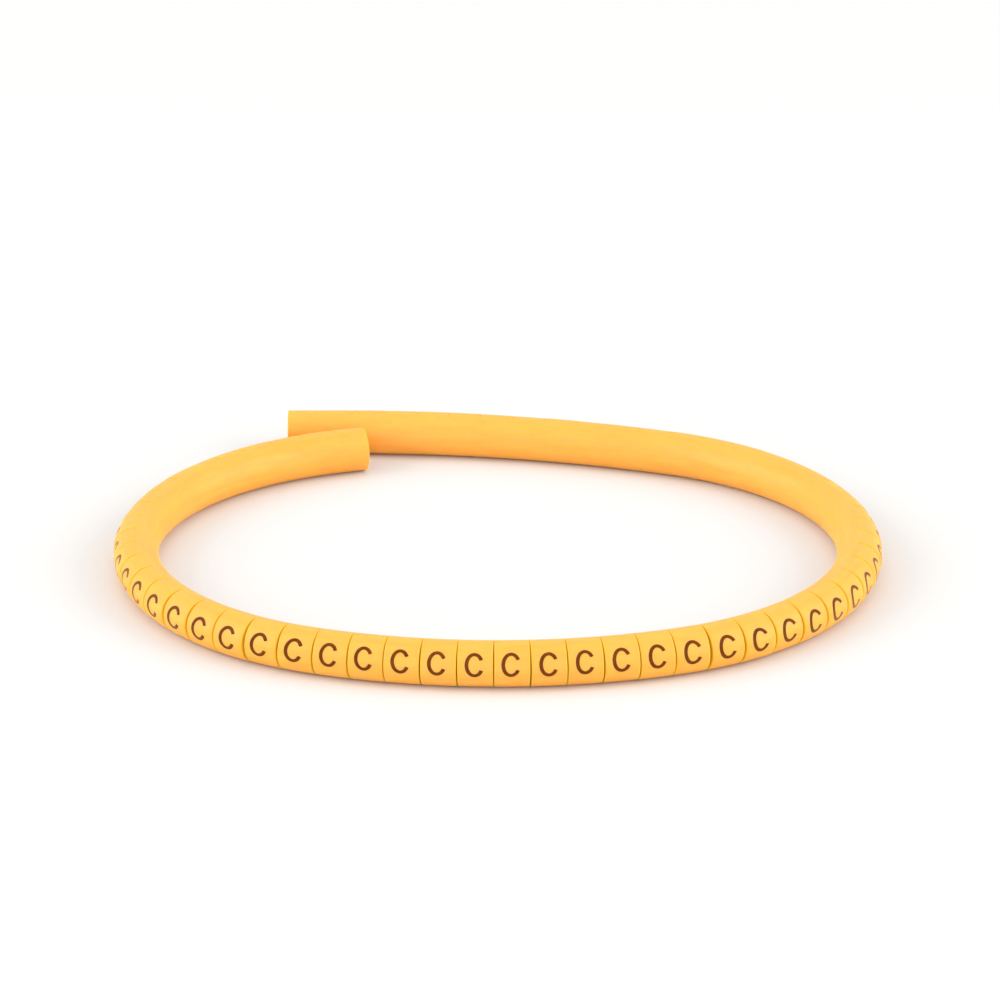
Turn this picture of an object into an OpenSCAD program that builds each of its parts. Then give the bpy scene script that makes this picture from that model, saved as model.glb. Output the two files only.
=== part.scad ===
// A strip of cable markers, coiled into a loose oval ring with its two ends side by side.
// The strip is one soft tube, slit across between the markers. Each slit comes in from the outside
// of the curve and stops short of the inside, where an uncut spine holds the markers together.

/* [Tube] */
// Outside diameter of the tube
tube_d = 6.7; // [5:0.1:9]
// Diameter of the bore, which slips over a wire
bore_d = 4.6; // [3:0.1:5.2]

/* [Markers] */
// Number of markers in the strip
marker_count = 63; // [45:1:90]
// Length of one marker, measured along the spine
marker_len = 5; // [3.6:0.1:8]

/* [Slits] */
// Depth of a slit, from the outside of the curve towards the spine
slit_depth = 3.9; // [3:0.1:5]
// Mean opening of a slit at the outside of the curve
slit_gap = 0.22; // [0.15:0.01:0.6]
// Share of the mean opening by which single slits differ from it
slit_spread = 0.35; // [0:0.05:0.6]
// Width of a slit at its root
slit_root = 0.05; // [0.03:0.01:0.15]

/* [Coil] */
// Length by which the two ends of the strip lie past each other
lap_len = 12.8; // [8:0.1:30]
// Ratio of the radius of the flat front and back to that of the tight sides
oval_ratio = 1.788; // [1.2:0.001:2.2]
// Length of the inner end that lies on the flat back
start_len = 6; // [2:0.1:12]
// Clear space between the inner end and the outer end that passes it
lap_gap = 0.5; // [0.3:0.1:3]

/* [Hidden] */
$fn = 96;

tube_r = tube_d / 2;
strip_len = marker_count * marker_len;

// The spine keeps its length when the strip is coiled, so lengths run along the middle of the spine,
// which lies this far inside the middle of the tube.
spine_t = tube_d - slit_depth;
spine_in = tube_r - spine_t / 2;

// Directions in which the flats meet the sides, as seen from the arcs' centres.
// 0.352 and 0.936 are an exact sine and cosine, so neighbouring arcs share their end planes exactly.
FRONT_LEFT = [-0.352, -0.936];
FRONT_RIGHT = [0.352, -0.936];
BACK_LEFT = [-0.352, 0.936];
BACK_RIGHT = [0.352, 0.936];
BACK = [0, 1];

// One turn of the ring takes what the lap leaves of the strip. The radii, to the middle of the tube,
// come in steps of 0.1, so that the arcs' centres are short numbers.
flat_turn = 2 * asin(BACK_RIGHT.x) * PI / 180;
side_turn = PI - flat_turn;
turn_len = strip_len - lap_len;
flat_r = round((turn_len + 2 * PI * spine_in) / (flat_turn + side_turn / oval_ratio) * 5) / 10;
side_r = round(flat_r / oval_ratio * 10) / 10;

// Centres of the oval's arcs, seen from its middle
step_in = flat_r - side_r;
left_centre = [BACK_LEFT.x * step_in, 0];
right_centre = [BACK_RIGHT.x * step_in, 0];
front_centre = [0, BACK_RIGHT.y * step_in];
back_centre = -front_centre;

// The inner end starts on the flat back, short of the left side.
function heading(a) = [cos(a), sin(a)];
start_angle = atan2(BACK_LEFT.y, BACK_LEFT.x) - start_len / (flat_r - spine_in) * 180 / PI;
START = heading(start_angle);

// From the right side the strip swings wide, on an arc that passes the inner end at lap_step.
// reach and drop place the inner end as seen from where that arc begins.
lap_step = tube_d + lap_gap;
to_start = flat_r * (START - BACK_RIGHT);
reach = norm(to_start);
drop = -to_start * BACK_RIGHT;
lap_r = ceil((reach * reach - lap_step * lap_step) / (2 * (drop - lap_step)));
lap_centre = back_centre - (lap_r - flat_r) * BACK_RIGHT;

// The arcs in order, anticlockwise from above: centre, radius, first direction, last direction
ARCS = [
    [back_centre, flat_r, START, BACK_LEFT],
    [left_centre, side_r, BACK_LEFT, FRONT_LEFT],
    [front_centre, flat_r, FRONT_LEFT, FRONT_RIGHT],
    [right_centre, side_r, FRONT_RIGHT, BACK_RIGHT],
    [lap_centre, lap_r, BACK_RIGHT, BACK]
];

function spine_r(arc) = arc[1] - spine_in;
function arc_len(arc) = spine_r(arc) * acos(arc[2] * arc[3]) * PI / 180;

// Length of the strip before arc i
function before(i) = i == 0 ? 0 : before(i - 1) + arc_len(ARCS[i - 1]);

// The outer end runs straight on from the last arc.
tail_start = before(len(ARCS));
tail_point = lap_centre + lap_r * BACK;

// Number of the arc that the length s falls on
function arc_at(s, i = 0) = i == len(ARCS) - 1 || s <= before(i + 1) ? i : arc_at(s, i + 1);

// Outward direction of the tube at length s, in degrees
function angle_at(s) = s > tail_start ? 90 : let (i = arc_at(s), arc = ARCS[i])
    atan2(arc[2].y, arc[2].x) + (s - before(i)) / spine_r(arc) * 180 / PI;

// Point in the middle of the tube at length s
function point_at(s) = s > tail_start ? tail_point - [s - tail_start, 0] : let (arc = ARCS[arc_at(s)])
    arc[0] + arc[1] * heading(angle_at(s));

// Middle of the ring, from its front to its back
mid_y = (front_centre.y - flat_r + tail_point.y) / 2;

// Openings that differ from slit to slit, with no pattern that the eye can follow
spread_step = 137.5;
function opening(i) = slit_gap * (1 + slit_spread * sin(i * spread_step));

module section() {
    difference() {
        circle(d = tube_d);
        circle(d = bore_d);
    }
}

// The part of arc i that the strip covers, cut from a full turn of tube. The cutting wedge reaches out
// to a power of ten, which keeps its corners short numbers.
module bend(i) {
    arc = ARCS[i];
    far = pow(10, ceil(log(2 * arc[1])));
    last = before(i + 1) > strip_len ? heading(angle_at(strip_len)) : arc[3];
    if (before(i) < strip_len)
        translate(arc[0])
            intersection() {
                translate([0, 0, tube_r])
                    rotate_extrude()
                        translate([arc[1], 0])
                            section();
                translate([0, 0, -tube_r])
                    linear_extrude(2 * tube_d)
                        polygon([[0, 0], far * arc[2], far * (arc[2] + last), far * last]);
            }
}

// The straight outer end
module tail() {
    if (strip_len > tail_start)
        translate([tail_point.x, tail_point.y, tube_r])
            rotate([0, -90, 0])
                linear_extrude(strip_len - tail_start)
                    section();
}

// A cut that opens outwards from the spine, upright through the tube at length s
module slit(s, gap) {
    over = tube_r;
    root_x = tube_r - slit_depth;
    rim_x = tube_r + over;
    half_root = slit_root / 2;
    half_rim = half_root + (gap / 2 - half_root) * (rim_x - root_x) / slit_depth;
    translate([each point_at(s), -over])
        rotate(angle_at(s))
            linear_extrude(tube_d + 2 * over)
                polygon([[root_x, -half_root], [rim_x, -half_rim], [rim_x, half_rim], [root_x, half_root]]);
}

module marker_strip() {
    color("orange")
        translate([0, -mid_y, 0])
            difference() {
                union() {
                    for (i = [0 : len(ARCS) - 1]) bend(i);
                    tail();
                }
                for (i = [1 : marker_count - 1]) slit(i * marker_len, opening(i));
            }
}

marker_strip();
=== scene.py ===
# %% [markdown]
# # A coiled strip of cable markers
# The strip is one soft yellow tube that slips over a wire. Slits cut it into sixty-three short
# markers, each printed with the letter C, and an uncut spine on the inside of the coil holds them
# together. The lesson makes one marker and one letter. Geometry Nodes repeat both along the
# strip and bend the result into the ring. Two finishes follow, then the light.

# %% Load the solid strip
import math

import bmesh
import bpy
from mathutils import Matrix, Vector


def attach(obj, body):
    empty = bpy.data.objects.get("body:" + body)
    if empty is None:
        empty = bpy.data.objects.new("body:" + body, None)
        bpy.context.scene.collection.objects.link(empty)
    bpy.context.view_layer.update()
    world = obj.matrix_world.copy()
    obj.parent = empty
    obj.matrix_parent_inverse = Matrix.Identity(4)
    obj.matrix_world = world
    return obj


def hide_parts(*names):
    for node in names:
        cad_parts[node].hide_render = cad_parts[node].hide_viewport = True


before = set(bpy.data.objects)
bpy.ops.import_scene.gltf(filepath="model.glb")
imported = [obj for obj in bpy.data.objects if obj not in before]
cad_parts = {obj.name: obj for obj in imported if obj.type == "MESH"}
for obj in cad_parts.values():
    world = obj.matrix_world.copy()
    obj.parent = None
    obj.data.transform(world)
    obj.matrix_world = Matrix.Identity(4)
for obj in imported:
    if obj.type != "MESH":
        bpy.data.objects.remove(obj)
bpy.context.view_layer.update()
scene = bpy.context.scene

# %% [markdown]
# ## Camera
# The photograph is taken with a long lens from a little above, so the ring looks almost like a plain
# ellipse. The lens could be guessed by eye. Here it comes from three measured numbers: the height
# angle, the pixels that one millimetre takes, and the pixel on which the ring's middle falls.

# %% Camera
MM = 0.001
FRAME_PX = 1000
ring_middle = Vector((0, -2.1824, 3.35)) * MM
camera_distance = 1.0
camera_height_angle = math.radians(21.85)
px_per_mm = 6.673
middle_px = (497.8, 548.0)

camera_data = bpy.data.cameras.new("camera")
camera_data.sensor_width = 36
camera_data.lens = px_per_mm * camera_distance / MM / FRAME_PX * camera_data.sensor_width
camera_data.shift_x = 0.5 - middle_px[0] / FRAME_PX
camera_data.shift_y = middle_px[1] / FRAME_PX - 0.5
camera = bpy.data.objects.new("camera", camera_data)
camera.rotation_euler = (math.pi / 2 - camera_height_angle, 0, 0)
camera.location = ring_middle + camera_distance * Vector(
    (0, -math.cos(camera_height_angle), math.sin(camera_height_angle)))
scene.collection.objects.link(camera)
scene.camera = camera
print("lens, mm:", round(camera_data.lens, 1))

# %% [markdown]
# ## Sizes
# The strip is thought of as lying straight first: x runs along it, y points to the inside of the
# coming curve, and z is up. The middle of the spine keeps its length when the strip is bent, so all
# lengths along the strip are lengths along that line. The numbers are those of the solid. Only the
# spread of the slits is smaller here, because the markers' loose seat adds a spread of its own.

# %% Sizes
TUBE_R = 3.35 * MM
BORE_R = 2.3 * MM
MARKER_COUNT = 63
MARKER_LEN = 5 * MM
SLIT_DEPTH = 3.9 * MM
SLIT_GAP = 0.22 * MM
SLIT_SPREAD = 0.2
SPREAD_STEP = math.radians(137.5)
SPINE_IN = SLIT_DEPTH / 2
ROOT_Y = SLIT_DEPTH - TUBE_R
strip_len = MARKER_COUNT * MARKER_LEN
print("strip length, mm:", round(strip_len / MM, 1))

# %% [markdown]
# ## The path of the spine
# On the real strip the ring comes from winding the tube up. It has a flat front and back and tighter
# sides, and its outer end swings wide to pass the inner end. A Bezier curve could be drawn by hand,
# but five arcs and a straight end, the same as in the solid, place every marker exactly.

# %% Spine path
FLAT_R, SIDE_R, LAP_R = 75.8, 42.4, 144
START_LEN = 6
TAIL_STEPS = 20
side_turn = math.degrees(math.atan2(0.352, 0.936))
start_turn = math.degrees(START_LEN / (FLAT_R - SPINE_IN / MM))
# Each arc, in millimetres and degrees: its centre, its radius to the middle of the tube, and its
# first and last direction
ARCS = [
    ((0, -31.2624), FLAT_R, 90 + side_turn - start_turn, 90 + side_turn),
    ((-11.7568, 0), SIDE_R, 90 + side_turn, 270 - side_turn),
    ((0, 31.2624), FLAT_R, 270 - side_turn, 270 + side_turn),
    ((11.7568, 0), SIDE_R, 270 + side_turn, 450 - side_turn),
    ((-24.0064, -95.0976), LAP_R, 90 - side_turn, 90),
]


def spine_points(step=0.25 * MM):
    """Points along the middle of the spine, with the straight outer end last."""
    points, length = [], 0
    for centre, radius, first, last in ARCS:
        spine_r = radius * MM - SPINE_IN
        arc_len = spine_r * math.radians(last - first)
        steps = math.ceil(arc_len / step)
        length += arc_len
        # Only the last arc gives its end point too, because the others run on into the next arc.
        for k in range(steps + 1 if last == 90 else steps):
            turn = math.radians(first + (last - first) * k / steps)
            points.append(Vector((centre[0] * MM + spine_r * math.cos(turn),
                                  centre[1] * MM + spine_r * math.sin(turn), 0)))
    tail = strip_len - length
    corner = points[-1]
    points += [corner - Vector((tail * k / TAIL_STEPS, 0, 0)) for k in range(1, TAIL_STEPS + 1)]
    return [p + Vector((0, ring_middle.y, 0)) for p in points]


path_points = spine_points()
path_data = bpy.data.curves.new("spine_path", "CURVE")
path_data.dimensions = "3D"
path_line = path_data.splines.new("POLY")
path_line.points.add(len(path_points) - 1)
for spot, p in zip(path_line.points, path_points):
    spot.co = (*p, 1)
spine_path = bpy.data.objects.new("spine_path", path_data)
scene.collection.objects.link(spine_path)
print("path points:", len(path_points), "length, mm:", round(path_line.calc_length() / MM, 3))

# %% [markdown]
# ## One marker
# A marker is a short tube. On a little more than half its girth it ends in a cut wall, and on the
# rest, the spine, it runs on into the next marker. A boolean could cut the slits, but it leaves ragged
# faces. Rings of points give clean ones: two of their points sit exactly where the slit stops, and the
# last rings before a cut step in a little, which rounds the edge.

# %% One marker
EDGE_ROUND = 0.18 * MM
ROUND_FADE = 0.6 * MM
SLIT_STEPS, SPINE_STEPS = 48, 20
NEAR_WALL, FAR_WALL = 1, 2
# The rings at a marker's end: distance from the cut, step inwards, and how much it belongs to the cut and
# its painted shade
END_RINGS = [(0, EDGE_ROUND, 1), (0.13 * EDGE_ROUND, 0.5 * EDGE_ROUND, 0.7),
             (0.5 * EDGE_ROUND, 0.13 * EDGE_ROUND, 0.35), (EDGE_ROUND, 0, 0.2), (4 * EDGE_ROUND, 0, 0)]


def ring_angles(radius):
    """Angles round the tube from the outside of the curve, first over the slit, then over the spine."""
    root = math.acos(-ROOT_Y / radius)
    over_slit = [-root + 2 * root * k / SLIT_STEPS for k in range(SLIT_STEPS)]
    over_spine = [root + 2 * (math.pi - root) * k / SPINE_STEPS for k in range(SPINE_STEPS)]
    return over_slit + over_spine


def ring(bm, radius, x, step_in=0, end=0, rim=0):
    """One ring of points at x. step_in draws it inwards, and that fades out towards the spine.
    end says which end of the marker the ring belongs to, and rim how much it belongs to the cut."""
    end_layer, rim_layer = (bm.verts.layers.float[name] for name in ("end", "rim"))
    points = []
    for turn in ring_angles(radius):
        fade = min(max((ROOT_Y + radius * math.cos(turn)) / ROUND_FADE, 0), 1)
        fade = fade * fade * (3 - 2 * fade)
        r = radius - step_in * fade
        vert = bm.verts.new((x, -r * math.cos(turn), r * math.sin(turn)))
        vert[end_layer] = end
        vert[rim_layer] = rim * fade
        points.append(vert)
    return points


def skin(bm, rings):
    """Faces between neighbouring rings, closed all the way round."""
    for a, b in zip(rings, rings[1:]):
        for k in range(len(a)):
            n = (k + 1) % len(a)
            bm.faces.new((a[k], a[n], b[n], b[k]))


def marker_mesh():
    """A marker with both its end walls. The part of a wall that the spine runs through is marked."""
    bm = bmesh.new()
    for name in ("end", "rim"):
        bm.verts.layers.float.new(name)
    wall_layer = bm.faces.layers.int.new("wall")
    outside = [ring(bm, TUBE_R, x, step_in, 1, rim) for x, step_in, rim in END_RINGS]
    outside += [ring(bm, TUBE_R, MARKER_LEN * k / 4) for k in (1, 2, 3)]
    outside += [ring(bm, TUBE_R, MARKER_LEN - x, step_in, -1, rim) for x, step_in, rim in END_RINGS[::-1]]
    inside = [ring(bm, BORE_R, 0, end=1, rim=1)]
    inside += [ring(bm, BORE_R, MARKER_LEN * k / 3) for k in (1, 2)]
    inside += [ring(bm, BORE_R, MARKER_LEN, end=-1, rim=1)]
    skin(bm, outside)
    skin(bm, inside)
    for side, a, b in ((NEAR_WALL, outside[0], inside[0]), (FAR_WALL, outside[-1], inside[-1])):
        for k in range(len(a)):
            n = (k + 1) % len(a)
            face = bm.faces.new((a[k], a[n], b[n], b[k]))
            face[wall_layer] = side if k >= SLIT_STEPS else 0
    bmesh.ops.recalc_face_normals(bm, faces=bm.faces)
    mesh = bpy.data.meshes.new("marker")
    bm.to_mesh(mesh)
    bm.free()
    return mesh


one_marker = marker_mesh()
print("one marker:", len(one_marker.vertices), "points,", len(one_marker.polygons), "faces")

# %% [markdown]
# ## One letter
# The letter is ink, a film about a hundredth of a millimetre thick. It could be painted by the
# material, but a thin closed pad keeps a crisp edge in every view. Its stroke follows an upright
# ellipse that stays open on the right. The pad is made flat here and wrapped round the tube later.

# %% One letter
LETTER_HALF_W, LETTER_HALF_H = 1.06 * MM, 1.59 * MM
STROKE = 0.54 * MM
INK_HEIGHT, INK_ROOT = 0.014 * MM, -0.03 * MM
LETTER_STEPS = 40
LETTER_OPENING = 28
# Places across the stroke, from one edge to the other, each with its height over the tube
STROKE_PROFILE = [(-0.5, INK_ROOT), (-0.46, 0.7 * INK_HEIGHT), (-0.3, INK_HEIGHT), (0.3, INK_HEIGHT),
                  (0.46, 0.7 * INK_HEIGHT), (0.5, INK_ROOT)]


def letter_mesh():
    """The letter's stroke as a flat closed pad, which stands up towards -y."""
    bm = bmesh.new()
    rows = []
    for k in range(LETTER_STEPS + 1):
        t = math.radians(LETTER_OPENING + (360 - 2 * LETTER_OPENING) * k / LETTER_STEPS)
        middle = Vector((LETTER_HALF_W * math.cos(t), 0, LETTER_HALF_H * math.sin(t)))
        across = Vector((math.cos(t) / LETTER_HALF_W, 0, math.sin(t) / LETTER_HALF_H)).normalized()
        rows.append([bm.verts.new(middle + across * STROKE * share - Vector((0, height, 0)))
                     for share, height in STROKE_PROFILE])
    skin(bm, rows)
    bm.faces.new(rows[0])
    bm.faces.new(rows[-1])
    bmesh.ops.recalc_face_normals(bm, faces=bm.faces)
    mesh = bpy.data.meshes.new("letter")
    bm.to_mesh(mesh)
    bm.free()
    return mesh


one_letter = letter_mesh()
print("one letter:", len(one_letter.polygons), "faces")

# %% [markdown]
# ## Helpers for node trees
# A node tree is plain data: nodes, values and links. A few short helpers keep the cells below
# readable. The first adds a node and fills its sockets, and the others write sums as one line.

# %% Node helpers


def add_node(tree, kind, settings=None, sockets=None):
    """A new node. Where a value is a socket it is linked, and any other value is set."""
    node = tree.nodes.new(kind)
    for name, value in (settings or {}).items():
        setattr(node, name, value)
    for key, value in (sockets or {}).items():
        if isinstance(value, bpy.types.NodeSocket):
            tree.links.new(value, node.inputs[key])
        else:
            node.inputs[key].default_value = value
    return node


def calc(tree, operation, *values):
    return add_node(tree, "ShaderNodeMath", {"operation": operation}, dict(enumerate(values))).outputs[0]


def vector_calc(tree, operation, *values):
    node = add_node(tree, "ShaderNodeVectorMath", {"operation": operation}, dict(enumerate(values)))
    return node.outputs["Vector"]


def scaled(tree, vector, factor):
    node = add_node(tree, "ShaderNodeVectorMath", {"operation": "SCALE"}, {0: vector, "Scale": factor})
    return node.outputs["Vector"]


def combine(tree, **parts):
    return add_node(tree, "ShaderNodeCombineXYZ", sockets=parts).outputs[0]


def position(tree):
    return add_node(tree, "GeometryNodeInputPosition").outputs[0]


def position_parts(tree):
    return add_node(tree, "ShaderNodeSeparateXYZ", sockets={0: position(tree)}).outputs


def read_attribute(tree, name, data_type="FLOAT"):
    node = add_node(tree, "GeometryNodeInputNamedAttribute", {"data_type": data_type}, {"Name": name})
    return node.outputs[0]


def random_vector(tree, reach, number, seed):
    low = tuple(-v for v in reach)
    node = add_node(tree, "FunctionNodeRandomValue", {"data_type": "FLOAT_VECTOR"},
                    {0: low, 1: reach, "ID": number, "Seed": seed})
    return node.outputs[0]


def new_tree(name, inputs):
    """A Geometry Nodes tree with a geometry input and output and the named inputs."""
    tree = bpy.data.node_groups.new(name, "GeometryNodeTree")
    tree.interface.new_socket("Geometry", in_out="INPUT", socket_type="NodeSocketGeometry")
    tree.interface.new_socket("Geometry", in_out="OUTPUT", socket_type="NodeSocketGeometry")
    for label, kind in inputs.items():
        tree.interface.new_socket(label, in_out="INPUT", socket_type="NodeSocket" + kind)
    return tree, tree.nodes.new("NodeGroupInput"), tree.nodes.new("NodeGroupOutput")


# %% [markdown]
# ## Settle and bend
# On the real strip no marker sits exactly in line with the next, because a slit lets each one give a
# little. The first part of this tree shifts and leans each marker by a small amount of its own, which
# fades to nothing at the spine. The second part reads a place and a direction from the path at the
# length x, and sets the point there. Markers and letters share the tree, so a letter stays on its
# marker.

# %% Settle and bend tree
# How far a marker shifts along the strip, out and up, and how far it leans, as shares of the looseness
SHIFT_REACH, LEAN_REACH = (0.2, 1, 1), (0.6, 0, 0)
LEAN_SEED = 100
bend, given, result = new_tree("Settle and bend", {"Path": "Object", "Looseness": "Float", "Seed": "Int"})
place = position_parts(bend)
depth = calc(bend, "DIVIDE", calc(bend, "SUBTRACT", ROOT_Y, place["Y"]), SLIT_DEPTH)
freedom = calc(bend, "MAXIMUM", calc(bend, "MINIMUM", depth, 1.0), 0.0)
amount = calc(bend, "MULTIPLY", freedom, given.outputs["Looseness"])
marker = read_attribute(bend, "marker", "INT")
shift = random_vector(bend, SHIFT_REACH, marker, given.outputs["Seed"])
lean = random_vector(bend, LEAN_REACH, marker, LEAN_SEED)
lean = scaled(bend, lean, calc(bend, "DIVIDE", place["Z"], TUBE_R))
offset = scaled(bend, vector_calc(bend, "ADD", shift, lean), amount)
settled = add_node(bend, "GeometryNodeSetPosition",
                   sockets={"Geometry": given.outputs["Geometry"], "Offset": offset})

now = position_parts(bend)
path = add_node(bend, "GeometryNodeObjectInfo", sockets={"Object": given.outputs["Path"]})
on_path = add_node(bend, "GeometryNodeSampleCurve", {"mode": "LENGTH"},
                   {"Curves": path.outputs["Geometry"], "Length": now["X"]})
inward = vector_calc(bend, "CROSS_PRODUCT", (0, 0, 1), on_path.outputs["Tangent"])
inward = scaled(bend, inward, calc(bend, "SUBTRACT", now["Y"], SPINE_IN))
upward = combine(bend, Z=calc(bend, "ADD", now["Z"], TUBE_R))
bent = vector_calc(bend, "ADD", on_path.outputs["Position"], vector_calc(bend, "ADD", inward, upward))
moved = add_node(bend, "GeometryNodeSetPosition",
                 sockets={"Geometry": settled.outputs[0], "Position": bent})
bend.links.new(moved.outputs[0], result.inputs[0])
print("bend tree:", len(bend.nodes), "nodes")

# %% [markdown]
# ## The strip
# The real strip is cut by a machine that steps on by one marker after each cut. Bending it opens the
# slits, more on the tight sides of the coil than on its flat front, and no two quite the same. An array
# modifier could repeat the marker, but each slit needs an opening of its own. The tree numbers the
# markers, reads from the path how much it bends at each slit, moves the slit's walls apart by that
# measure, most at the outside and not at all at the root, joins the markers at the spine, and bends
# the strip.

# %% Strip tree
tree, given, result = new_tree("Strip of markers", {
    "Path": "Object", "Markers": "Int", "Marker length": "Float", "Slit gap": "Float",
    "Slit spread": "Float", "Looseness": "Float", "Seed": "Int", "Finish": "Material"})


def repeat(tree, given):
    """Copies of the unit along x, one for each marker, and the same copies with their numbers."""
    step = combine(tree, X=given.outputs["Marker length"])
    row = add_node(tree, "GeometryNodeMeshLine", {"mode": "OFFSET"},
                   {"Count": given.outputs["Markers"], "Offset": step})
    copies = add_node(tree, "GeometryNodeInstanceOnPoints",
                      sockets={"Points": row.outputs[0], "Instance": given.outputs["Geometry"]})
    number = add_node(tree, "GeometryNodeInputIndex").outputs[0]
    numbered = add_node(tree, "GeometryNodeStoreNamedAttribute", {"data_type": "INT", "domain": "INSTANCE"},
                        {"Geometry": copies.outputs[0], "Name": "marker", "Value": number})
    return copies, numbered


_, numbered = repeat(tree, given)
real = add_node(tree, "GeometryNodeRealizeInstances", sockets={"Geometry": numbered.outputs[0]})
marker = read_attribute(tree, "marker", "INT")
wall = read_attribute(tree, "wall", "INT")
not_first = calc(tree, "GREATER_THAN", marker, 0.5)
not_last = calc(tree, "LESS_THAN", marker, calc(tree, "SUBTRACT", given.outputs["Markers"], 1.5))
near_wall = calc(tree, "MULTIPLY", calc(tree, "COMPARE", wall, NEAR_WALL, 0.5), not_first)
far_wall = calc(tree, "MULTIPLY", calc(tree, "COMPARE", wall, FAR_WALL, 0.5), not_last)
opened = add_node(tree, "GeometryNodeDeleteGeometry", {"domain": "FACE"},
                  {"Geometry": real.outputs[0], "Selection": calc(tree, "ADD", near_wall, far_wall)})
print("walls that the spine runs through are gone,", len(tree.nodes), "nodes so far")

# %% Bend of the path at each slit
COIL_TURN = math.radians(344)
MEAN_BEND = COIL_TURN / MARKER_COUNT
end = read_attribute(tree, "end")
slit = calc(tree, "ADD", marker, calc(tree, "LESS_THAN", end, -0.5))
slit_place = calc(tree, "MULTIPLY", slit, given.outputs["Marker length"])
path = add_node(tree, "GeometryNodeObjectInfo", sockets={"Object": given.outputs["Path"]})


def heading(tree, path, place):
    """Direction in which the path runs at a length along it."""
    node = add_node(tree, "GeometryNodeSampleCurve", {"mode": "LENGTH"},
                    {"Curves": path.outputs["Geometry"], "Length": place})
    return node.outputs["Tangent"]


before = heading(tree, path, calc(tree, "SUBTRACT", slit_place, MARKER_LEN / 2))
after = heading(tree, path, calc(tree, "ADD", slit_place, MARKER_LEN / 2))
turned = add_node(tree, "ShaderNodeVectorMath", {"operation": "DISTANCE"}, {0: before, 1: after})
tightness = calc(tree, "DIVIDE", turned.outputs["Value"], MEAN_BEND)
print("mean bend at a slit, degrees:", round(math.degrees(MEAN_BEND), 2))

# %% Slit openings in the strip tree
# The soft spine takes up a part of the bend, which then opens no slit. No slit closes fully.
SPINE_STRETCH, LEAST_OPENING = 0.2, 0.2
MERGE_REACH = 0.001 * MM
after_first = calc(tree, "GREATER_THAN", slit, 0.5)
before_last = calc(tree, "LESS_THAN", slit, calc(tree, "SUBTRACT", given.outputs["Markers"], 0.5))
between = calc(tree, "MULTIPLY", after_first, before_last)
wave = calc(tree, "SINE", calc(tree, "MULTIPLY", slit, SPREAD_STEP))
wave = calc(tree, "MULTIPLY", wave, given.outputs["Slit spread"])
half_gap = calc(tree, "MULTIPLY", calc(tree, "MULTIPLY_ADD", wave, 0.5, 0.5), given.outputs["Slit gap"])
opening = calc(tree, "MULTIPLY_ADD", tightness, 1 + SPINE_STRETCH, -SPINE_STRETCH)
half_gap = calc(tree, "MULTIPLY", half_gap, calc(tree, "MAXIMUM", opening, LEAST_OPENING))
share = calc(tree, "DIVIDE", calc(tree, "SUBTRACT", ROOT_Y, position_parts(tree)["Y"]), SLIT_DEPTH)
share = calc(tree, "MAXIMUM", share, 0.0)
half_gap = calc(tree, "MULTIPLY", half_gap, between)
apart = calc(tree, "MULTIPLY", half_gap, calc(tree, "MULTIPLY", share, end))
# The cut walls and the edges beside them, which get a painted slit shade in their colour and a rougher
# finish
cut_wall = calc(tree, "MULTIPLY", read_attribute(tree, "rim"), between)
marked = add_node(tree, "GeometryNodeStoreNamedAttribute", {"data_type": "FLOAT", "domain": "POINT"},
                  {"Geometry": opened.outputs[0], "Name": "cut_wall", "Value": cut_wall})
slit_open = add_node(tree, "GeometryNodeSetPosition",
                     sockets={"Geometry": marked.outputs[0], "Offset": combine(tree, X=apart)})
joined = add_node(tree, "GeometryNodeMergeByDistance",
                  sockets={"Geometry": slit_open.outputs[0], "Distance": MERGE_REACH})
print("slits opened,", len(tree.nodes), "nodes so far")

# %% End of the strip tree
CRISP_ANGLE = math.radians(55)


def close_tree(tree, given, result, geometry):
    """Keeps the straight place for the finish, bends the strip, and ends the tree."""
    straight = add_node(tree, "GeometryNodeStoreNamedAttribute",
                        {"data_type": "FLOAT_VECTOR", "domain": "POINT"},
                        {"Geometry": geometry, "Name": "straight", "Value": position(tree)})
    curved = add_node(tree, "GeometryNodeGroup", {"node_tree": bend}, {"Geometry": straight.outputs[0]})
    for label in ("Path", "Looseness", "Seed"):
        tree.links.new(given.outputs[label], curved.inputs[label])
    smooth = add_node(tree, "GeometryNodeSetShadeSmooth", {"domain": "FACE"},
                      {"Geometry": curved.outputs[0], "Shade Smooth": True})
    angle = add_node(tree, "GeometryNodeInputMeshEdgeAngle").outputs[0]
    crisp = add_node(tree, "GeometryNodeSetShadeSmooth", {"domain": "EDGE"},
                     {"Geometry": smooth.outputs[0], "Shade Smooth": False,
                      "Selection": calc(tree, "GREATER_THAN", angle, CRISP_ANGLE)})
    whole = add_node(tree, "GeometryNodeRealizeInstances", sockets={"Geometry": crisp.outputs[0]})
    painted = add_node(tree, "GeometryNodeSetMaterial",
                       sockets={"Geometry": whole.outputs[0], "Material": given.outputs["Finish"]})
    tree.links.new(painted.outputs[0], result.inputs[0])


close_tree(tree, given, result, joined.outputs[0])
strip_tree = tree
print("strip tree:", len(strip_tree.nodes), "nodes")

# %% [markdown]
# ## The print
# A wheel prints the letters one after another while the tube runs past, so they keep one height and
# one place on the markers, with a little play. The coiled tube is also twisted a little, so the row of
# letters stands highest at the front and rolls down towards the sides. The same tree pattern repeats
# the flat letter, gives each copy its own small shift and turn, wraps it round the tube with that roll
# and bends it with the strip.

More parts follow.
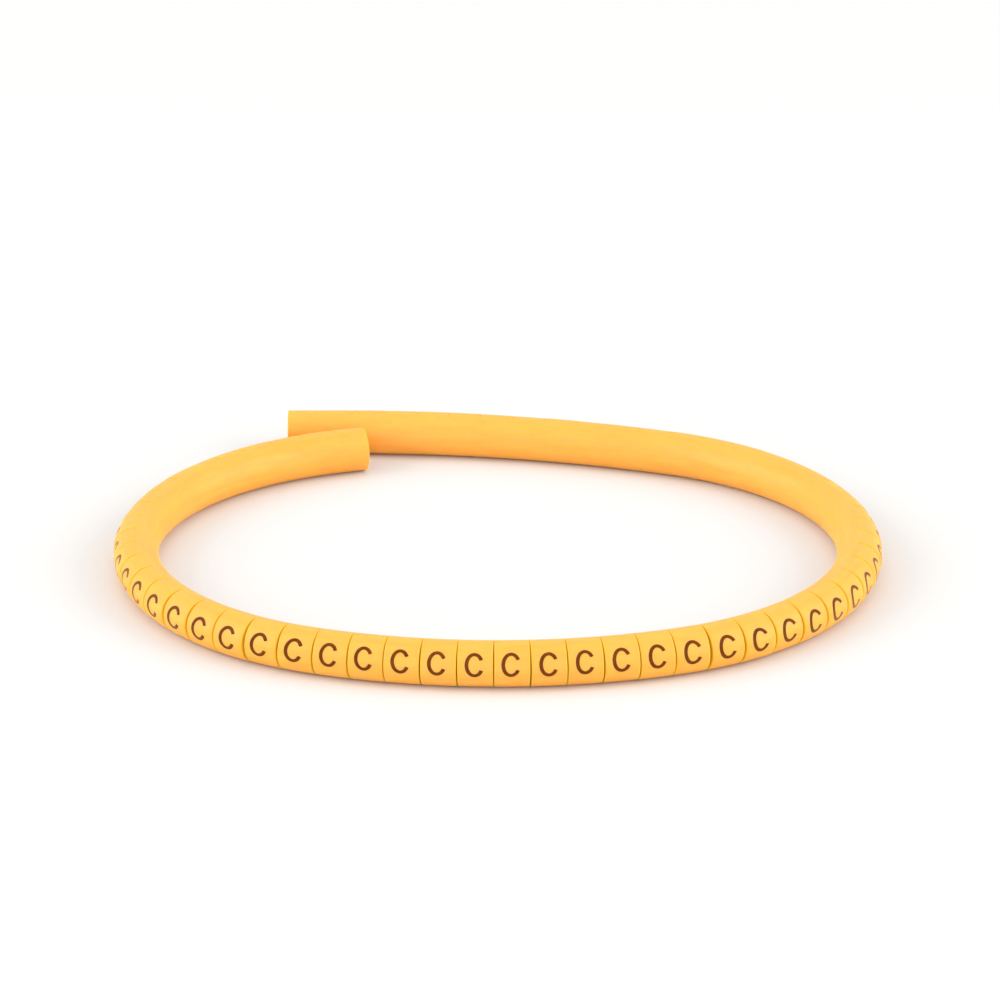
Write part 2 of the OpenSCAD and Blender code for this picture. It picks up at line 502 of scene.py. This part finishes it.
# %% Print tree
TILT_REACH, TILT_SEED, PLAY_SEED = 0.03, 5, 9
PRINT_X = MARKER_LEN / 2 - 0.12 * MM
tree, given, result = new_tree("Printed letters", {
    "Path": "Object", "Markers": "Int", "Marker length": "Float", "Play": "Float", "Turn": "Float",
    "Front place": "Float", "Roll": "Float", "Looseness": "Float", "Seed": "Int", "Finish": "Material"})
copies, numbered = repeat(tree, given)
row_number = add_node(tree, "GeometryNodeInputIndex").outputs[0]
tree.links.new(random_vector(tree, (0, TILT_REACH, 0), row_number, TILT_SEED), copies.inputs["Rotation"])
real = add_node(tree, "GeometryNodeRealizeInstances", sockets={"Geometry": numbered.outputs[0]})
play = random_vector(tree, (1, 0, 1), read_attribute(tree, "marker", "INT"), PLAY_SEED)
play = scaled(tree, play, given.outputs["Play"])
spot = vector_calc(tree, "ADD", play, (PRINT_X, 0, 0))
set_off = add_node(tree, "GeometryNodeSetPosition", sockets={"Geometry": real.outputs[0], "Offset": spot})

# %% Wrap the letters round the tube
ROLL_FROM, ROLL_TO = 20 * MM, 46 * MM
flat = position_parts(tree)
from_front = calc(tree, "ABSOLUTE", calc(tree, "SUBTRACT", flat["X"], given.outputs["Front place"]))
roll = add_node(tree, "ShaderNodeMapRange", {"interpolation_type": "SMOOTHSTEP"},
                {"Value": from_front, "From Min": ROLL_FROM, "From Max": ROLL_TO,
                 "To Max": given.outputs["Roll"]}).outputs[0]
turn = calc(tree, "SUBTRACT", given.outputs["Turn"], roll)
turn = calc(tree, "ADD", calc(tree, "DIVIDE", flat["Z"], TUBE_R), turn)
radius = calc(tree, "SUBTRACT", TUBE_R, flat["Y"])
outward = calc(tree, "MULTIPLY", radius, calc(tree, "COSINE", turn))
upward = calc(tree, "MULTIPLY", radius, calc(tree, "SINE", turn))
wrapped = combine(tree, X=flat["X"], Y=calc(tree, "MULTIPLY", outward, -1.0), Z=upward)
round_tube = add_node(tree, "GeometryNodeSetPosition",
                      sockets={"Geometry": set_off.outputs[0], "Position": wrapped})
close_tree(tree, given, result, round_tube.outputs[0])
print_tree = tree
print("print tree:", len(print_tree.nodes), "nodes")

# %% [markdown]
# ## Unevenness, shared by both finishes
# Soft PVC and dried ink both vary a little from place to place. One node group gives both a broad
# mottle and a fine grain. It reads the strip's straight coordinates, which each tree above has stored,
# so the pattern runs along the tube round every bend.

# %% Unevenness group
uneven = bpy.data.node_groups.new("Unevenness", "ShaderNodeTree")
for label, kind in (("Vector", "Vector"), ("Mottle scale", "Float"), ("Grain scale", "Float")):
    uneven.interface.new_socket(label, in_out="INPUT", socket_type="NodeSocket" + kind)
given, result = uneven.nodes.new("NodeGroupInput"), uneven.nodes.new("NodeGroupOutput")
for label, detail, roughness in (("Mottle", 3.0, 0.6), ("Grain", 4.0, 0.65)):
    uneven.interface.new_socket(label, in_out="OUTPUT", socket_type="NodeSocketFloat")
    noise = add_node(uneven, "ShaderNodeTexNoise", sockets={
        "Vector": given.outputs["Vector"], "Scale": given.outputs[label + " scale"],
        "Detail": detail, "Roughness": roughness})
    uneven.links.new(noise.outputs[0], result.inputs[label])
print("unevenness group:", [s.name for s in uneven.interface.items_tree])

# %% [markdown]
# ## Yellow PVC
# The tube is soft filled PVC, warm yellow with a satin skin, and light gets a little way into it. The
# walls of the cuts are duller, because they lack the smooth skin, and they and the edges beside them
# are painted a deeper yellow, a painted shade that stands for the shade inside the slits. A plain colour
# would look like paint, so the finish mixes two yellows by the mottle, draws faint lines along the tube
# as an extruder does, and lets roughness and bump follow the grain.

# %% Yellow PVC


def new_material(name):
    material = bpy.data.materials.new(name)
    material.use_nodes = True
    tree = material.node_tree
    return material, tree, tree.nodes["Principled BSDF"]


def mix_colour(tree, share, first, second):
    node = add_node(tree, "ShaderNodeMix", {"data_type": "RGBA"}, {"Factor": share})
    for key, colour in (("A_Color", first), ("B_Color", second)):
        socket = next(s for s in node.inputs if s.identifier == key)
        if isinstance(colour, bpy.types.NodeSocket):
            tree.links.new(colour, socket)
        else:
            socket.default_value = (*colour, 1)
    return next(s for s in node.outputs if s.identifier == "Result_Color")


def spread(tree, value, low, high, to_low=0.0, to_high=1.0):
    return add_node(tree, "ShaderNodeMapRange", sockets={
        "Value": value, "From Min": low, "From Max": high, "To Min": to_low, "To Max": to_high}).outputs[0]


def surface_attribute(tree, name, output):
    return add_node(tree, "ShaderNodeAttribute", {"attribute_name": name}).outputs[output]


def bumped(tree, height, strength, distance, shader):
    bump = add_node(tree, "ShaderNodeBump",
                    sockets={"Height": height, "Strength": strength, "Distance": distance})
    tree.links.new(bump.outputs[0], shader.inputs["Normal"])


YELLOW_DEEP, YELLOW_PALE = (0.88, 0.375, 0.041), (0.92, 0.415, 0.051)
YELLOW_LINE, YELLOW_SLIT_SHADE = (0.86, 0.35, 0.035), (0.70, 0.37, 0.004)
SKIN_ROUGHNESS, CUT_ROUGHNESS = (0.46, 0.58), 0.9
LINE_SCALE = (150, 1100, 1100)
pvc, tree, shader = new_material("yellow_pvc_satin")
along = add_node(tree, "ShaderNodeMapping", sockets={
    "Vector": surface_attribute(tree, "straight", "Vector"), "Scale": LINE_SCALE}).outputs[0]
patches = add_node(tree, "ShaderNodeGroup", {"node_tree": uneven},
                   {"Vector": along, "Mottle scale": 0.8, "Grain scale": 4.0}).outputs
yellow = mix_colour(tree, spread(tree, patches["Mottle"], 0.35, 0.65), YELLOW_DEEP, YELLOW_PALE)
yellow = mix_colour(tree, spread(tree, patches["Grain"], 0.3, 0.75, 0.0, 0.25), yellow, YELLOW_LINE)
# Painted shade: the cut walls and the edges beside them take a darker yellow that stands for the shade
# inside the slits, and the cut also makes them rougher
cut_wall = surface_attribute(tree, "cut_wall", "Fac")
yellow = mix_colour(tree, cut_wall, yellow, YELLOW_SLIT_SHADE)
tree.links.new(yellow, shader.inputs["Base Color"])
roughness = spread(tree, patches["Grain"], 0.3, 0.7, *SKIN_ROUGHNESS)
roughness = spread(tree, cut_wall, 0.0, 1.0, roughness, CUT_ROUGHNESS)
tree.links.new(roughness, shader.inputs["Roughness"])
bumped(tree, patches["Grain"], 0.08, 0.05 * MM, shader)
shader.inputs["Subsurface Weight"].default_value = 0.8
shader.inputs["Subsurface Radius"].default_value = (0.9, 0.6, 0.05)
shader.inputs["Subsurface Scale"].default_value = 1.2 * MM
shader.inputs["IOR"].default_value = 1.5
print("finish:", pvc.name, len(tree.nodes), "nodes")

# %% [markdown]
# ## Ink
# The print is a dark brown ink that lies thinner in some places, where the yellow warms it. One flat
# brown would look like cut paper, so the same unevenness group varies it, at a finer scale. The dried
# film is duller than the tube, and a little sheen lightens it where it is seen aslant.

# %% Ink
INK_THICK, INK_THIN = (0.105, 0.023, 0.001), (0.150, 0.040, 0.002)
ink, tree, shader = new_material("dark_print_ink")
patches = add_node(tree, "ShaderNodeGroup", {"node_tree": uneven}, {
    "Vector": surface_attribute(tree, "straight", "Vector"),
    "Mottle scale": 900.0, "Grain scale": 6000.0}).outputs
film = mix_colour(tree, spread(tree, patches["Mottle"], 0.35, 0.7), INK_THICK, INK_THIN)
tree.links.new(film, shader.inputs["Base Color"])
tree.links.new(spread(tree, patches["Grain"], 0.3, 0.7, 0.45, 0.6), shader.inputs["Roughness"])
bumped(tree, patches["Grain"], 0.1, 0.02 * MM, shader)
shader.inputs["Specular IOR Level"].default_value = 0.06
shader.inputs["Sheen Weight"].default_value = 0.8
shader.inputs["Sheen Roughness"].default_value = 0.4
shader.inputs["Sheen Tint"].default_value = (1.0, 0.66, 0.36, 1)
print("finish:", ink.name, len(tree.nodes), "nodes")

# %% [markdown]
# ## Make the two pieces
# Each tree now gets its sizes and its unit mesh. The evaluated result is kept as a plain mesh and the
# modifier goes, because what is handed on has to be ordinary faces.

# %% Make the pieces


def make_piece(name, unit, tree, values):
    """A piece that holds what the tree makes of the unit mesh."""
    unit.materials.append(values["Finish"])
    piece = bpy.data.objects.new(name, unit)
    scene.collection.objects.link(piece)
    modifier = piece.modifiers.new("build", "NODES")
    modifier.node_group = tree
    for socket in tree.interface.items_tree:
        if socket.in_out == "INPUT" and socket.name in values:
            modifier[socket.identifier] = values[socket.name]
    view = bpy.context.evaluated_depsgraph_get()
    mesh = bpy.data.meshes.new_from_object(
        piece.evaluated_get(view), preserve_all_data_layers=True, depsgraph=view)
    piece.modifiers.clear()
    piece.data = mesh
    mesh.name = name
    mesh.calc_loop_triangles()
    print(name, len(mesh.loop_triangles), "triangles", [m.name for m in mesh.materials])
    return piece


PRINT_TURN, PRINT_ROLL = math.radians(18), math.radians(9.5)
PRINT_PLAY, LOOSENESS = 0.06 * MM, 0.06 * MM
SHIFT_SEED = 3
# The length along the strip at which it passes the middle of the front
FRONT_PLACE = 130.54 * MM
common = {"Path": spine_path, "Markers": MARKER_COUNT, "Marker length": MARKER_LEN,
          "Looseness": LOOSENESS, "Seed": SHIFT_SEED}
strip = make_piece("soft_strip", one_marker, strip_tree,
                   {**common, "Slit gap": SLIT_GAP, "Slit spread": SLIT_SPREAD, "Finish": pvc})
letters = make_piece("printed_letters", one_letter, print_tree,
                     {**common, "Play": PRINT_PLAY, "Turn": PRINT_TURN, "Front place": FRONT_PLACE,
                      "Roll": PRINT_ROLL, "Finish": ink})
bpy.data.objects.remove(spine_path)

# %% Check that the strip is closed
probe = bmesh.new()
probe.from_mesh(strip.data)
open_edges = sum(len(e.link_faces) != 2 for e in probe.edges)
print("open edges:", open_edges, "volume, mm3:", round(probe.calc_volume() / MM ** 3, 1))
probe.free()

# %% [markdown]
# ## Floor and light
# The ring lies on a pale sheet in soft light from all round, as in a light tent. Hard lamps would draw
# bright lines on the satin skin that the photograph doesn't show, so four broad lamps add form to the
# even light. Those at the sides are the strongest, because the ring is palest there.

# %% Floor
PAPER_DEEP, PAPER_PALE = (0.69, 0.69, 0.685), (0.71, 0.71, 0.705)
bm = bmesh.new()
bmesh.ops.create_grid(bm, x_segments=1, y_segments=1, size=3)
floor_mesh = bpy.data.meshes.new("floor")
bm.to_mesh(floor_mesh)
bm.free()
floor = bpy.data.objects.new("floor", floor_mesh)
scene.collection.objects.link(floor)
paper, tree, shader = new_material("pale_paper")
fibre = add_node(tree, "ShaderNodeTexNoise", sockets={
    "Vector": add_node(tree, "ShaderNodeTexCoord").outputs["Object"], "Scale": 900.0, "Detail": 3.0})
paper_colour = mix_colour(tree, fibre.outputs[0], PAPER_DEEP, PAPER_PALE)
tree.links.new(paper_colour, shader.inputs["Base Color"])
shader.inputs["Roughness"].default_value = 0.9
shader.inputs["Specular IOR Level"].default_value = 0.1
floor_mesh.materials.append(paper)
print("floor:", paper.name)

# %% Light
scene.view_settings.view_transform = "Standard"
world = bpy.data.worlds.new("tent")
scene.world = world
world.use_nodes = True
world.node_tree.nodes["Background"].inputs["Color"].default_value = (1.0, 0.995, 0.985, 1)
world.node_tree.nodes["Background"].inputs["Strength"].default_value = 1.0


def soft_lamp(name, place, watts, size=1.0):
    """A round lamp that faces the middle of the ring."""
    data = bpy.data.lights.new(name, "AREA")
    data.shape = "DISK"
    data.size = size
    data.energy = watts
    lamp = bpy.data.objects.new(name, data)
    lamp.location = place
    lamp.rotation_euler = (ring_middle - Vector(place)).to_track_quat("-Z", "Y").to_euler()
    scene.collection.objects.link(lamp)


soft_lamp("top_lamp", (-0.1, -0.2, 1.1), 1.0)
soft_lamp("left_lamp", (-1.15, -0.25, 0.45), 11.5, size=1.3)
soft_lamp("right_lamp", (1.15, -0.25, 0.45), 11.5, size=1.3)
soft_lamp("front_lamp", (0.0, -1.2, 0.1), 4.5, size=0.6)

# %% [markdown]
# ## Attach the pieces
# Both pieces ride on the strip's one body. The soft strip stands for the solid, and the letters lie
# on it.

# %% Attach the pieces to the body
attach(strip, "root")
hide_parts("marker_strip")
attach(letters, "root")
bpy.context.view_layer.update()
